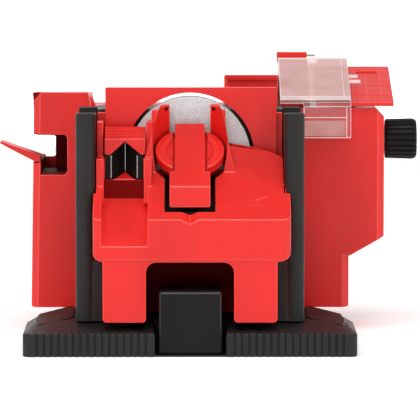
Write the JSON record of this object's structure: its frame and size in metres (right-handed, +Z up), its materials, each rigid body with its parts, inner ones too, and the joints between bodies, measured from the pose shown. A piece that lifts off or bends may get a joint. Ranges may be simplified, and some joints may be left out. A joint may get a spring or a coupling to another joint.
{
  "type": "bench sharpening machine",
  "caption": "Bench sharpener: motor-driven wheels on a black base, with red heads that guide drill bits, scissors, knives and chisels, a clear spark guard and a side knob.",
  "frame": {"origin": "on the bench under the motor shaft, in the underside of the bottom cover", "axes": "+X towards the knob, +Y from the front head to the rear head along the motor shaft, +Z up"},
  "size_m": [0.176, 0.144, 0.1166],
  "materials": {
    "red_plastic": "satin",
    "black_plastic": "satin",
    "rubber": "matte",
    "zinc_steel": "satin",
    "ground_steel": "polished",
    "copper": "satin",
    "carbon": "matte",
    "abrasive": "rough",
    "clear_plastic": "clear"
  },
  "bodies": {
    "frame": {"base": "black_plastic", "foot_pad_1": "rubber", "foot_pad_2": "rubber", "foot_pad_3": "rubber", "foot_pad_4": "rubber", "bottom_cover": "black_plastic", "dock_block": "black_plastic", "base_screw_1": "zinc_steel", "base_screw_2": "zinc_steel", "base_screw_3": "zinc_steel", "base_screw_4": "zinc_steel", "housing": "black_plastic", "switch_frame": "black_plastic", "stator": "zinc_steel", "brush_left": "carbon", "brush_right": "carbon", "front_bearing": "ground_steel", "rear_bearing": "ground_steel", "motor_bracket": "black_plastic", "guard_plate": "red_plastic", "front_cover": "red_plastic", "front_head": "red_plastic", "scissor_guide": "black_plastic", "scissor_hood": "red_plastic", "turret_pin": "zinc_steel", "rear_head": "red_plastic", "rear_cover": "red_plastic", "wheel_cover": "red_plastic", "guard_bracket": "red_plastic", "guard_hinge": "red_plastic", "hinge_pin": "zinc_steel", "knife_rest": "red_plastic", "knife_stone": "abrasive", "cable_gland": "black_plastic"},
    "rotor": {"shaft": "ground_steel", "armature": "copper", "commutator": "copper", "cooling_fan": "black_plastic", "front_wheel": "abrasive", "front_nut": "zinc_steel", "front_flange": "zinc_steel", "rear_wheel": "abrasive", "rear_nut": "zinc_steel"},
    "turret": {"turret_ring": "red_plastic", "drill_bar": "red_plastic"},
    "knob": {"adjusting_knob": "black_plastic", "adjusting_screw": "zinc_steel"},
    "platform": {"chisel_platform": "red_plastic", "carriage": "black_plastic"},
    "spark_guard": {"clear_guard": "clear_plastic"},
    "rocker": {"rocker_switch": "red_plastic"}
  },
  "joints": [
    {"name": "rotor_spin", "type": "hinge", "parent": "frame", "child": "rotor", "pos_m": [0, 0.0417, 0.0769], "axis": [0, 1, 0], "continuous": true},
    {"name": "turret_swing", "type": "hinge", "parent": "frame", "child": "turret", "pos_m": [0, -0.00835, 0.07635], "axis": [0, -0.5592, 0.829], "range_deg": [-8, 8]},
    {"name": "guard_flip", "type": "hinge", "parent": "frame", "child": "spark_guard", "pos_m": [0.0526, 0.086, 0.1152], "axis": [-1, 0, 0], "range_deg": [0, 95]},
    {"name": "knob_turn", "type": "hinge", "parent": "frame", "child": "knob", "pos_m": [0.0894, 0.058, 0.081], "axis": [1, 0, 0], "range_deg": [-180, 540]},
    {"name": "platform_slide", "type": "slide", "parent": "frame", "child": "platform", "axis": [1, 0, 0], "range_m": [-0.001, 0.003]},
    {"name": "rocker_tilt", "type": "hinge", "parent": "frame", "child": "rocker", "pos_m": [0.0406, 0.0315, 0.055], "axis": [0, 1, 0], "range_deg": [0, 16]}
  ],
  "couplings": [
    {"joint": "knob_turn", "follows": "platform_slide", "rad_per_m": 3141.6}
  ]
}
